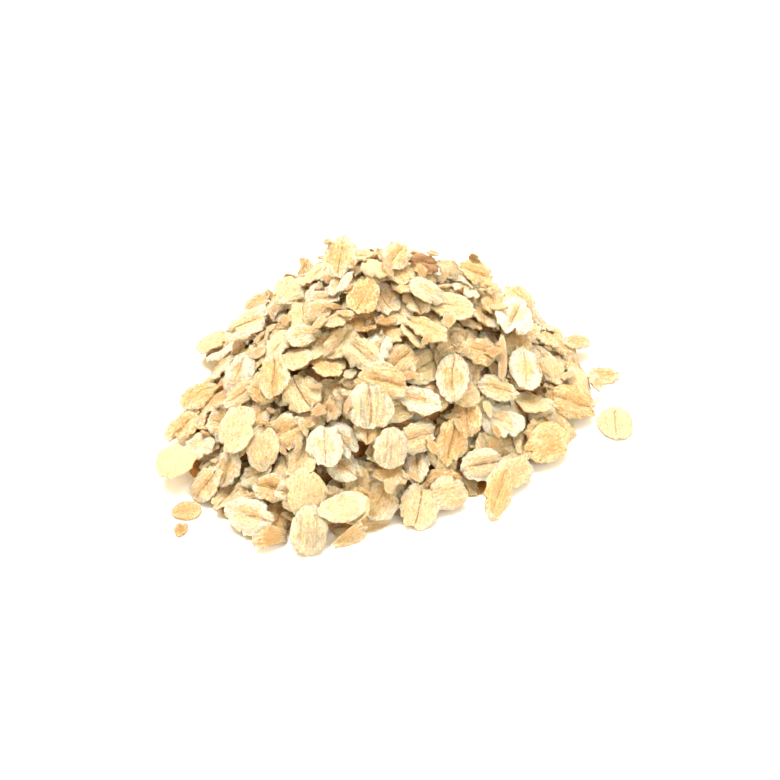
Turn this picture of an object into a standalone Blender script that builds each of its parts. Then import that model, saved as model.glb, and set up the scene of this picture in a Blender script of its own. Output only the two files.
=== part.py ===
"""A loose heap of rolled oats on a flat surface, with a few stray bits lying beside it.

The heap is one solid: a plain core with the flakes of its outer layer fused on, each at true size.
The flakes are laid one by one, as if dropped: each one comes to rest on what lies below it.
The origin is on the surface, under the heap. X runs along the heap's width, Z is up. Metres.
"""

import math

import bmesh
import bpy
import numpy as np

MM = 0.001

# Driving dimensions of the heap
FOOT_RADIUS = 0.0510
HEAP_HEIGHT = 0.0375
SUMMIT = (-0.0026, -0.0026)
# The foot isn't round: each lobe is (waves round the foot, swell, heading of the swell in degrees)
FOOT_LOBES = ((2, 0.0039, 45), (3, 0.0032, -4))
# How far the flanks are rounded off at the summit, as a share of the foot's radius
SUMMIT_ROUNDING = 0.28
# The outermost flakes reach past the form's edge, so the form stops short of the foot
RIM_INSET = 0.0026

# Driving dimensions of a flake
FLAKE_LENGTH = 0.0088
FLAKE_THICKNESS = 0.0008
CREASE_DEPTH = 0.0004
MOST_BOW = 0.0007
# A bow runs along the flake. This share of it also runs across
CROSS_BOW = 0.4
# A broken flake ends at this share of its half width on one side
BREAK_AT = 0.55
# Least and most that a corner of the outline stands out
CORNER_SWELL = (0.93, 1.05)
# Each kind: share of the heap, shortest and longest against FLAKE_LENGTH, narrowest and widest
# against the flake's own length
KINDS = {
    "creased": (0.44, 0.86, 1.22, 0.70, 0.90),
    "smooth": (0.26, 0.80, 1.12, 0.70, 0.92),
    "broken": (0.21, 0.45, 0.72, 0.62, 0.95),
    "sliver": (0.09, 0.55, 1.00, 0.20, 0.32),
}

# Laying the flakes
SEED = 11
FLAKES_LAID = 470
PLACES_PASSED = 80
PLACES_TRIED = 8
LAYER_DEPTH = 0.0054
LAYER_INSET = 0.0056
# The steepest slope that a flake comes to rest at, the share that it takes on of the slope of
# what lies below it, and how far it leans besides
STEEPEST = 1.30
FOLLOWS = (0.35, 1.0)
LEAN_SPREAD = 0.12
# The slope at which a flake rests lowest is found in steps, from the coarsest down to the finest,
# and its plan outline is then worked out again for that slope
COARSEST_STEP = 0.4
FINEST_STEP = 0.02
REST_PASSES = 3
CELL = 0.0005
REACH = 0.0700

# The flakes that stand out, laid last: kind, plan point in millimetres, heading in degrees,
# length and width in millimetres, the share of the slope below that it takes on, and how much
# steeper than that it rises to the back
STANDOUT_FLAKES = (
    # On the skyline
    ("creased", -11.6, -0.6, 85, 9.8, 9.0, 0.60, 0.55),
    ("smooth", -3.6, -5.0, 125, 8.0, 5.2, 1.00, 0.30),
    ("creased", 1.4, -1.0, 62, 8.6, 6.4, 1.00, 0.50),
    ("creased", 8.2, 1.6, 32, 8.4, 5.2, 1.00, 0.60),
    ("smooth", 8.4, -7.0, 5, 9.6, 6.2, 1.00, 0.10),
    ("broken", 14.0, 4.0, 25, 6.4, 4.6, 1.00, 0.90),
    ("creased", 20.6, 7.8, 5, 9.8, 7.8, 0.50, 0.40),
    ("smooth", -24.0, 5.0, 45, 8.6, 8.0, 0.15, 0.30),
    ("creased", -33.2, 18.0, 50, 9.0, 5.6, 0.25, 0.30),
    ("creased", -34.0, 2.6, 10, 11.4, 8.6, 0.30, 0.20),
    # On the right flank
    ("creased", 29.4, -1.6, 68, 13.0, 10.0, 0.45, 0.10),
    ("creased", 31.6, 13.0, 130, 8.8, 7.0, 0.30, 0.30),
    ("creased", 31.6, -12.0, 95, 10.6, 8.6, 0.55, 0.10),
    ("sliver", 26.2, -14.2, 88, 12.0, 2.0, 1.00, 0.50),
    ("smooth", 45.8, -5.4, 125, 9.2, 7.0, 0.60, 0.20),
    ("creased", 43.6, -11.4, 8, 12.2, 8.8, 0.80, 0.00),
    ("smooth", 46.4, 13.4, 10, 7.4, 5.6, 0.25, 0.00),
    ("creased", 52.4, 4.8, 5, 7.4, 6.6, 0.60, 0.00),
    ("broken", 50.2, -3.4, 80, 6.4, 5.0, 0.50, 0.00),
    ("smooth", 36.8, -25.0, 40, 11.6, 9.8, 1.00, 0.10),
    ("smooth", 28.6, -33.8, 35, 9.6, 8.0, 1.00, 0.00),
    # Down the front
    ("creased", 14.2, -21.0, 82, 11.8, 7.6, 1.00, 0.10),
    ("creased", -1.6, -27.6, 3, 12.6, 8.0, 1.00, 0.00),
    ("creased", -4.4, -33.4, 90, 10.8, 10.2, 1.00, 0.10),
    ("smooth", 0.2, -38.8, 80, 9.6, 8.4, 1.00, 0.10),
    ("smooth", 13.2, -41.2, 20, 9.6, 7.4, 1.00, 0.00),
    ("creased", 6.4, -45.2, 75, 10.0, 8.8, 1.00, 0.00),
    ("creased", 24.6, -40.2, 68, 12.6, 7.2, 1.00, 0.00),
    # Down the left
    ("smooth", -34.6, -30.8, 75, 12.2, 9.8, 0.80, 0.10),
    ("creased", -48.6, -19.8, 50, 9.8, 8.0, 0.30, 0.10),
    ("smooth", -49.4, -32.4, 80, 10.4, 9.4, 0.25, 0.10),
    ("creased", -41.8, -38.0, 30, 9.2, 7.6, 1.00, 0.00),
    ("creased", -45.6, -11.6, 35, 9.6, 7.6, 0.30, 0.10),
    ("smooth", -43.8, 12.4, 20, 9.4, 8.0, 0.30, 0.10),
    ("creased", -26.6, -23.6, 88, 10.0, 8.4, 0.80, 0.10),
    # Along the foot at the front
    ("creased", -31.4, -48.6, 160, 11.0, 9.0, 1.00, 0.00),
    ("smooth", -18.4, -47.0, 100, 10.8, 10.0, 1.00, 0.10),
    ("smooth", -17.8, -53.6, 90, 10.8, 8.8, 1.00, 0.00),
    ("broken", -26.2, -54.0, 20, 7.0, 5.8, 1.00, 0.00),
    ("smooth", -10.4, -49.0, 12, 10.4, 7.6, 1.00, 0.00),
    ("broken", -8.8, -54.6, 25, 8.0, 4.8, 1.00, 0.00),
)

# Stray pieces on the surface: name, material, plan point, heading in degrees, length, width
STRAY_FLAKES = (
    ("stray_flake_right", "rolled_oats", (0.0539, -0.0130), 84, 0.0112, 0.0090),
    ("stray_flake_left", "toasted_oat", (-0.0460, -0.0432), 20, 0.0066, 0.0060),
    ("stray_crumb_left", "toasted_oat", (-0.0468, -0.0494), 70, 0.0040, 0.0028),
    ("stray_crumb_back", "rolled_oats", (-0.0231, 0.0512), 95, 0.0066, 0.0042),
)

# What is fused on
FLAKES_SHOWN = 198
FLAKE_SIDES = 8
STRAY_SIDES = 14
CREASE_REACH = 0.45
GRIP_DEPTH = 0.0016
GRIP_BELOW = 0.0008
FLOOR_GAP = 0.0002
# The core lies this far under the lowest point of the heap's skin within the given reach
CORE_SINK = 0.0005
CORE_REACH = 0.0030
CORE_INSET = 0.0020
CORE_SKIRT = 0.0005
CORE_RINGS = 10
CORE_SPOKES = 52

COLOURS = {
    "rolled_oats": (0.84, 0.66, 0.38, 1.0),
    "toasted_oat": (0.66, 0.36, 0.10, 1.0),
}
ROUGHNESS = 0.72


def clear_scene():
    for thing in list(bpy.data.objects):
        bpy.data.objects.remove(thing)


def oat_material(name):
    material = bpy.data.materials.new(name)
    material.use_nodes = True
    shader = material.node_tree.nodes["Principled BSDF"]
    shader.inputs["Base Color"].default_value = COLOURS[name]
    shader.inputs["Roughness"].default_value = ROUGHNESS
    shader.inputs["Metallic"].default_value = 0.0
    return material


def foot_radius(heading):
    """Distance from the summit's foot point to the heap's edge, for a heading in radians."""
    radius = FOOT_RADIUS
    for waves, swell, towards in FOOT_LOBES:
        radius = radius + swell * np.cos(waves * (heading - math.radians(towards)))
    return radius


def heap_form(x, y, sink=0.0, inset=0.0):
    """Height over the plan point and share of the way to the edge, for the heap or a core of it."""
    dx, dy = x - SUMMIT[0], y - SUMMIT[1]
    share = np.hypot(dx, dy) / (foot_radius(np.arctan2(dy, dx)) - RIM_INSET - inset)
    full = math.hypot(1, SUMMIT_ROUNDING)
    height = (full - np.sqrt(SUMMIT_ROUNDING**2 + share**2)) / (full - SUMMIT_ROUNDING)
    return (HEAP_HEIGHT - sink) * height, share


class Ground:
    """The height of what has been laid so far, on a grid of plan cells, and the flake on top."""

    def __init__(self):
        marks = np.arange(-REACH, REACH, CELL)
        self.x, self.y = np.meshgrid(marks, marks)
        target, self.share = heap_form(self.x, self.y)
        core, _ = heap_form(self.x, self.y, LAYER_DEPTH, LAYER_INSET)
        self.target = np.maximum(target, 0)
        self.height = np.maximum(core, 0)
        self.top = np.full(self.x.shape, -1)

    def window(self, place, reach):
        column = int((place[0] + REACH) / CELL)
        row = int((place[1] + REACH) / CELL)
        cells = int(reach / CELL) + 1
        return (slice(row - cells, row + cells + 1), slice(column - cells, column + cells + 1))


def flake_axes(slope, heading):
    """Unit vectors along, across and square to a flake that lies on a plane of this slope."""
    cosine, sine = math.cos(heading), math.sin(heading)
    along = np.array([cosine, sine, slope[0] * cosine + slope[1] * sine])
    along /= np.linalg.norm(along)
    square = np.array([-slope[0], -slope[1], 1.0])
    square /= np.linalg.norm(square)
    return along, np.cross(square, along), square


def lowest_rest(dx, dy, need, slope):
    """The slope and centre height at which a flake rests lowest on the heights it needs."""
    best = (need - slope[0] * dx - slope[1] * dy).max()
    step = COARSEST_STEP
    while step > FINEST_STEP:
        trials = slope + step * np.array([(1, 0), (-1, 0), (0, 1), (0, -1)])
        steepness = np.maximum(np.linalg.norm(trials, axis=1), STEEPEST)
        trials *= STEEPEST / steepness[:, None]
        heights = (need - trials[:, :1] * dx - trials[:, 1:] * dy).max(axis=1)
        lowest = int(heights.argmin())
        if heights[lowest] < best:
            best, slope = heights[lowest], trials[lowest]
        else:
            step /= 2
    return slope, best


def rest_flake(ground, flake, place):
    """How the flake comes to rest at this plan point: its axes, its centre and what it covers."""
    where = ground.window(place, flake["length"] / 2)
    dx = ground.x[where] - place[0]
    dy = ground.y[where] - place[1]
    slope = np.zeros(2)
    for _ in range(REST_PASSES):
        along, across, square = flake_axes(slope, flake["heading"])
        rise = slope[0] * dx + slope[1] * dy
        s = (dx * along[0] + dy * along[1] + rise * along[2]) / (flake["length"] / 2)
        t = (dx * across[0] + dy * across[1] + rise * across[2]) / (flake["width"] / 2)
        covered = s**2 + t**2 < 1
        bowed = flake["bow"] * (s**2 + CROSS_BOW * t**2) / square[2]
        half = FLAKE_THICKNESS / 2 / square[2]
        need = (ground.height[where] - bowed + half)[covered]
        slope, centre = lowest_rest(dx[covered], dy[covered], need, slope)
    slope = slope * flake["follows"] + flake["lean"]
    centre = (need - slope[0] * dx[covered] - slope[1] * dy[covered]).max()
    return {
        "axes": flake_axes(slope, flake["heading"]),
        "centre": np.array([*place, centre]),
        "where": where,
        "covered": covered,
        "upper": centre + slope[0] * dx + slope[1] * dy + bowed + half,
    }


def settle_flake(ground, number, flake, rest):
    """Leaves the flake where it rests, and raises the ground to its upper face."""
    below = ground.height[rest["where"]]
    raised = rest["covered"] & (rest["upper"] > below)
    below[raised] = rest["upper"][raised]
    ground.top[rest["where"]][raised] = number
    flake["axes"] = rest["axes"]
    flake["centre"] = rest["centre"]


def random_flake(draw, kinds):
    kind = kinds[draw.choice(len(kinds), p=[KINDS[k][0] for k in kinds])]
    _, shortest, longest, narrowest, widest = KINDS[kind]
    length = FLAKE_LENGTH * draw.uniform(shortest, longest)
    return {
        "kind": kind,
        "length": length,
        "width": length * draw.uniform(narrowest, widest),
        "heading": draw.uniform(0, 2 * math.pi),
        "bow": draw.uniform(-MOST_BOW, MOST_BOW),
        "follows": draw.uniform(*FOLLOWS),
        "lean": draw.normal(0, LEAN_SPREAD, 2),
    }


def lay_heap():
    """Every flake of the heap. Each rolls to the lowest of the hollows that it comes past."""
    draw = np.random.default_rng(SEED)
    ground = Ground()
    kinds = list(KINDS)
    inside = np.argwhere(ground.share < 1)
    flakes = []
    for number in range(FLAKES_LAID):
        flake = random_flake(draw, kinds)
        passed = inside[draw.integers(len(inside), size=PLACES_PASSED)]
        rows, columns = passed[:, 0], passed[:, 1]
        fill = ground.height[rows, columns] - ground.target[rows, columns]
        best = None
        for row, column in passed[fill.argsort()[:PLACES_TRIED]]:
            place = (ground.x[row, column], ground.y[row, column])
            rest = rest_flake(ground, flake, place)
            stands = rest["centre"][2] - ground.target[row, column]
            if best is None or stands < best[0]:
                best = (stands, rest)
        settle_flake(ground, number, flake, best[1])
        flakes.append(flake)
    for kind, x, y, heading, length, width, follows, steeper in STANDOUT_FLAKES:
        flake = random_flake(draw, kinds)
        flake.update(kind=kind, heading=math.radians(heading), follows=follows)
        flake.update(length=length * MM, width=width * MM, lean=np.array([0, steeper]))
        settle_flake(ground, len(flakes), flake, rest_flake(ground, flake, (x * MM, y * MM)))
        flakes.append(flake)
    for number, flake in enumerate(flakes):
        in_plan = (ground.top == number).sum() * CELL**2
        flake["in_sight"] = in_plan / flake["axes"][2][2]
        flake["stands_out"] = number >= FLAKES_LAID
    return flakes, ground


def flake_outline(draw, flake, sides):
    """Corner points of a flake on its own plane, as shares of its half length and half width."""
    corners = []
    for k in range(sides):
        turn = 2 * math.pi * k / sides
        swell = draw.uniform(*CORNER_SWELL)
        s, t = swell * math.cos(turn), swell * math.sin(turn)
        if flake["kind"] == "broken":
            t = min(t, BREAK_AT)
        corners.append((s, t))
    return corners


def flake_mesh(draw, name, flake, sides, grip=None):
    """A closed flake with a creased or bowed face. With a grip it has a thin edge, and its
    underside is drawn in to that one point. With none it is filled down to the floor."""
    along, across, square = flake["axes"]
    half_length, half_width = flake["length"] / 2, flake["width"] / 2
    crease = CREASE_DEPTH if flake["kind"] == "creased" else 0.0

    def point(s, t, height):
        rise = height + flake["bow"] * (s**2 + CROSS_BOW * t**2)
        spot = flake["centre"] + along * s * half_length + across * t * half_width + square * rise
        return (spot[0], spot[1], max(spot[2], FLOOR_GAP))

    upper = FLAKE_THICKNESS / 2
    outline = flake_outline(draw, flake, sides)
    mesh = bmesh.new()
    top = [mesh.verts.new(point(s, t, upper)) for s, t in outline]
    rim = [mesh.verts.new((v.co.x, v.co.y, FLOOR_GAP / 2)) for v in top] if grip is None else top
    front = mesh.verts.new(point(CREASE_REACH, 0, upper - crease))
    back = mesh.verts.new(point(-CREASE_REACH, 0, upper - crease))
    quarter = sides // 4
    for k in range(sides):
        nxt = (k + 1) % sides
        near_front = k < quarter or k >= sides - quarter
        mesh.faces.new((top[k], top[nxt], front if near_front else back))
        if grip is None:
            mesh.faces.new((rim[k], rim[nxt], top[nxt]))
            mesh.faces.new((rim[k], top[nxt], top[k]))
    mesh.faces.new((front, top[quarter], back))
    mesh.faces.new((back, top[sides - quarter], front))
    if grip is None:
        mesh.faces.new(list(reversed(rim)))
    else:
        foot = mesh.verts.new(grip)
        for k in range(sides):
            mesh.faces.new((rim[k], foot, rim[(k + 1) % sides]))
    data = bpy.data.meshes.new(name)
    mesh.to_mesh(data)
    mesh.free()
    return data


def core_surface(ground):
    """The height of the core on the ground's grid: it stays under everything that was laid."""
    low = ground.height.copy()
    for _ in range(int(CORE_REACH / CELL)):
        sideways = [np.roll(low, shift, axis) for axis in (0, 1) for shift in (-1, 1)]
        low = np.minimum.reduce([low, *sideways])
    return low - CORE_SINK


def height_at(heights, x, y):
    return heights[int((y + REACH) / CELL), int((x + REACH) / CELL)]


def core_edge(ground, heading):
    """How far out from the summit the core goes: just short of the outermost flake there."""
    edge = foot_radius(heading) + FLAKE_LENGTH
    toward = (math.cos(heading), math.sin(heading))
    while height_at(ground.height, SUMMIT[0] + edge * toward[0], SUMMIT[1] + edge * toward[1]) <= 0:
        edge -= CELL
    return edge - CORE_INSET


def grip_point(core, flake):
    """A point behind the flake that is well inside the core, or none where the floor is nearer."""
    square = flake["axes"][2]
    spot = flake["centre"] - square * (FLAKE_THICKNESS + abs(flake["bow"]) + GRIP_BELOW)
    while height_at(core, spot[0], spot[1]) - spot[2] < GRIP_DEPTH:
        spot = spot - square * CELL
        if spot[2] < FLOOR_GAP:
            return None
    return spot if spot[2] > FLOOR_GAP else None


def make_core(ground, core):
    """The core of the heap: rings of points over a flat foot."""
    mesh = bmesh.new()
    summit = mesh.verts.new((*SUMMIT, height_at(core, *SUMMIT)))
    spokes = []
    for number in range(CORE_SPOKES):
        heading = 2 * math.pi * number / CORE_SPOKES
        edge = core_edge(ground, heading)
        spoke = []
        for ring in range(1, CORE_RINGS + 1):
            x = SUMMIT[0] + edge * math.cos(heading) * ring / CORE_RINGS
            y = SUMMIT[1] + edge * math.sin(heading) * ring / CORE_RINGS
            z = max(height_at(core, x, y), CORE_SKIRT) if ring < CORE_RINGS else 0.0
            spoke.append(mesh.verts.new((x, y, z)))
        spokes.append(spoke)
    for number, spoke in enumerate(spokes):
        following = spokes[(number + 1) % CORE_SPOKES]
        mesh.faces.new((summit, spoke[0], following[0]))
        for ring in range(CORE_RINGS - 1):
            mesh.faces.new((spoke[ring], spoke[ring + 1], following[ring + 1], following[ring]))
    mesh.faces.new([spoke[-1] for spoke in reversed(spokes)])
    data = bpy.data.meshes.new("oat_heap")
    mesh.to_mesh(data)
    mesh.free()
    heap = bpy.data.objects.new("oat_heap", data)
    bpy.context.scene.collection.objects.link(heap)
    return heap


def shell_volume(faces):
    volume = 0.0
    for face in faces:
        corners = [v.co for v in face.verts]
        for k in range(1, len(corners) - 1):
            volume += corners[0].dot(corners[k].cross(corners[k + 1])) / 6
    return volume


def keep_outer_shell(heap):
    """Fills sealed hollows and drops loose scraps: only the largest closed shell is kept."""
    mesh = bmesh.new()
    mesh.from_mesh(heap.data)
    unseen = set(mesh.faces)
    shells = []
    while unseen:
        shell = {unseen.pop()}
        edge_of_shell = list(shell)
        while edge_of_shell:
            face = edge_of_shell.pop()
            for edge in face.edges:
                beside = edge.link_faces if len(edge.link_faces) == 2 else ()
                for other in beside:
                    if other in unseen:
                        unseen.remove(other)
                        shell.add(other)
                        edge_of_shell.append(other)
        shells.append(shell)
    shells.sort(key=shell_volume)
    for shell in shells[:-1]:
        bmesh.ops.delete(mesh, geom=list(shell), context="FACES")
    loose = [v for v in mesh.verts if not v.link_faces]
    bmesh.ops.delete(mesh, geom=loose, context="VERTS")
    bmesh.ops.triangulate(mesh, faces=mesh.faces[:])
    mesh.to_mesh(heap.data)
    mesh.free()


def make_heap(draw, flakes, ground, material):
    """The core with the flakes that lie in sight fused on."""
    core = core_surface(ground)
    heap = make_core(ground, core)
    fused = bpy.data.collections.new("fused_flakes")
    bpy.context.scene.collection.children.link(fused)
    shown = sorted(flakes, key=lambda flake: (not flake["stands_out"], -flake["in_sight"]))
    for number, flake in enumerate(shown[:FLAKES_SHOWN]):
        name = f"flake_{number}"
        data = flake_mesh(draw, name, flake, FLAKE_SIDES, grip_point(core, flake))
        fused.objects.link(bpy.data.objects.new(name, data))
    union = heap.modifiers.new("fuse_flakes", "BOOLEAN")
    union.operation = "UNION"
    union.operand_type = "COLLECTION"
    union.collection = fused
    union.solver = "EXACT"
    bpy.context.view_layer.objects.active = heap
    bpy.ops.object.modifier_apply(modifier=union.name)
    for thing in list(fused.objects):
        bpy.data.objects.remove(thing)
    bpy.data.collections.remove(fused)
    keep_outer_shell(heap)
    heap.data.materials.clear()
    heap.data.materials.append(material)


def make_stray(draw, name, place, heading, length, width, material):
    """A flake that lies flat on the surface, apart from the heap."""
    flake = {
        "kind": "creased",
        "length": length,
        "width": width,
        "bow": 0.0,
        "axes": flake_axes(np.zeros(2), math.radians(heading)),
        "centre": np.array([*place, FLAKE_THICKNESS / 2 + FLOOR_GAP]),
    }
    data = flake_mesh(draw, name, flake, STRAY_SIDES)
    data.materials.append(material)
    bpy.context.scene.collection.objects.link(bpy.data.objects.new(name, data))


def main():
    clear_scene()
    materials = {name: oat_material(name) for name in COLOURS}
    flakes, ground = lay_heap()
    draw = np.random.default_rng(SEED + 1)
    make_heap(draw, flakes, ground, materials["rolled_oats"])
    for name, slot, place, heading, length, width in STRAY_FLAKES:
        make_stray(draw, name, place, heading, length, width, materials[slot])


main()
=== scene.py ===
"""A loose heap of rolled oats on a pale surface, with a few stray bits lying beside it.

The origin is on the surface, under the heap. X runs along the heap's width, Z is up. Metres.
"""

import math

import bmesh
import bpy
import numpy as np
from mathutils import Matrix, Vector, noise


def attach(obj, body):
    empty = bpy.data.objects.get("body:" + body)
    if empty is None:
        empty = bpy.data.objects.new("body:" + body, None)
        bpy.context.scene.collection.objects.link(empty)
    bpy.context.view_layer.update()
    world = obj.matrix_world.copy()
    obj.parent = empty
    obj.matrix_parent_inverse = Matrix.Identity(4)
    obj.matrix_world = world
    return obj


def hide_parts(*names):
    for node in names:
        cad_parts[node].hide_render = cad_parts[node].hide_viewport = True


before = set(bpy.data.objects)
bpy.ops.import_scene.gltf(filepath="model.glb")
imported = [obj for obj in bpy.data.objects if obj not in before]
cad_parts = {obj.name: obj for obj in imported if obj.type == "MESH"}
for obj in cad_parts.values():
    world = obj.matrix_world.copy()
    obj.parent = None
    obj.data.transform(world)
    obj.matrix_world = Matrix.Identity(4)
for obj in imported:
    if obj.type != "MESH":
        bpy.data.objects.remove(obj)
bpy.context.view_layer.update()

# The surface and the light
# The heap lies on a plain white sheet that has no edge in view. A soft panel lights it from above
# and behind, one fills the front, and a small one close above makes the summit the brightest.
MM = 0.001
VIEW_DISTANCE = 0.450
VIEW_ELEVATION = 40
LENS = 84.8
SENSOR_WIDTH = 36
NEAREST_SEEN = 0.01
FLOOR_SIZE = 0.9
FLOOR_COLOUR = (0.93, 0.93, 0.93, 1.0)
FLOOR_ROUGHNESS = 0.9
SKY_COLOUR = (1.0, 0.82, 0.49, 1.0)
SKY_STRENGTH = 1.34
WALL_COLOUR = (1.0, 1.0, 1.0, 1.0)
# Each panel: its name, place, size and power in watts. All of them face the heap
PANELS = (
    ("key_panel", (-0.16, 0.12, 0.64), 0.30, 6.8),
    ("front_panel", (0.35, -0.55, 0.45), 0.50, 3.0),
    ("top_panel", (0.06, 0.06, 0.28), 0.12, 0.55),
)

bpy.ops.object.select_all(action="DESELECT")
bpy.ops.mesh.primitive_plane_add(size=FLOOR_SIZE)
floor = bpy.context.object
floor.name = "floor"
floor_paper = bpy.data.materials.new("floor_paper")
floor_paper.use_nodes = True
paper_shader = floor_paper.node_tree.nodes["Principled BSDF"]
paper_shader.inputs["Base Color"].default_value = FLOOR_COLOUR
paper_shader.inputs["Roughness"].default_value = FLOOR_ROUGHNESS
floor.data.materials.append(floor_paper)

sky = bpy.data.worlds.new("studio")
sky.use_nodes = True
sky_nodes = sky.node_tree.nodes
warm_light = sky_nodes["Background"]
warm_light.inputs["Color"].default_value = SKY_COLOUR
warm_light.inputs["Strength"].default_value = SKY_STRENGTH
# Past the edge of the floor the camera sees plain white, like the floor
white_wall = sky_nodes.new("ShaderNodeBackground")
white_wall.inputs["Color"].default_value = WALL_COLOUR
seen = sky_nodes.new("ShaderNodeLightPath")
either = sky_nodes.new("ShaderNodeMixShader")
sky.node_tree.links.new(seen.outputs["Is Camera Ray"], either.inputs[0])
sky.node_tree.links.new(warm_light.outputs[0], either.inputs[1])
sky.node_tree.links.new(white_wall.outputs[0], either.inputs[2])
sky.node_tree.links.new(either.outputs[0], sky_nodes["World Output"].inputs["Surface"])
bpy.context.scene.world = sky

for name, place, size, watts in PANELS:
    panel = bpy.data.lights.new(name, "AREA")
    panel.size = size
    panel.energy = watts
    lamp = bpy.data.objects.new(name, panel)
    lamp.location = place
    lamp.rotation_euler = (-Vector(place)).to_track_quat("-Z", "Y").to_euler()
    bpy.context.scene.collection.objects.link(lamp)

camera = bpy.data.cameras.new("camera")
camera.lens = LENS
camera.sensor_width = SENSOR_WIDTH
camera.clip_start = NEAREST_SEEN
viewpoint = bpy.data.objects.new("camera", camera)
lean_back = math.radians(VIEW_ELEVATION)
viewpoint.location = (0, -VIEW_DISTANCE * math.cos(lean_back), VIEW_DISTANCE * math.sin(lean_back))
viewpoint.rotation_euler = (math.radians(90) - lean_back, 0, 0)
bpy.context.scene.collection.objects.link(viewpoint)
bpy.context.scene.camera = viewpoint
bpy.context.scene.view_settings.view_transform = "Standard"

# How the flakes lie
# Poured oats come to rest flake by flake, each one tilted by what lies under it. The most
# noticeable ones come last. All of them are laid here before any is modelled.
FOOT_RADIUS = 0.0510
HEAP_HEIGHT = 0.0375
SUMMIT = (-0.0026, -0.0026)
# Each lobe of the foot is (waves round the foot, swell, heading of the swell in degrees)
FOOT_LOBES = ((2, 0.0039, 45), (3, 0.0032, -4))
SUMMIT_ROUNDING = 0.28
RIM_INSET = 0.0026
FLAKE_LENGTH = 0.0088
FLAKE_THICKNESS = 0.0008
MOST_BOW = 0.0007
# A bow runs along the flake. This share of it also runs across
CROSS_BOW = 0.4
# Each kind: share of the heap, shortest and longest against FLAKE_LENGTH, narrowest and widest
# against the flake's own length
KINDS = {
    "creased": (0.44, 0.86, 1.22, 0.70, 0.90),
    "smooth": (0.26, 0.80, 1.12, 0.70, 0.92),
    "broken": (0.21, 0.45, 0.72, 0.62, 0.95),
    "sliver": (0.09, 0.55, 1.00, 0.20, 0.32),
}
SEED = 11
FLAKES_LAID = 470
PLACES_PASSED = 80
PLACES_TRIED = 8
LAYER_DEPTH = 0.0054
LAYER_INSET = 0.0056
# The steepest slope that a flake comes to rest at, the share that it takes on of the slope of
# what lies below it, and how far it leans besides
STEEPEST = 1.30
FOLLOWS = (0.35, 1.0)
LEAN_SPREAD = 0.12
# The slope at which a flake rests lowest is found in steps, from the coarsest down to the finest,
# and its plan outline is then worked out again for that slope
COARSEST_STEP = 0.4
FINEST_STEP = 0.02
REST_PASSES = 3
CELL = 0.0005
REACH = 0.0700
FLOOR_GAP = 0.0002
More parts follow.
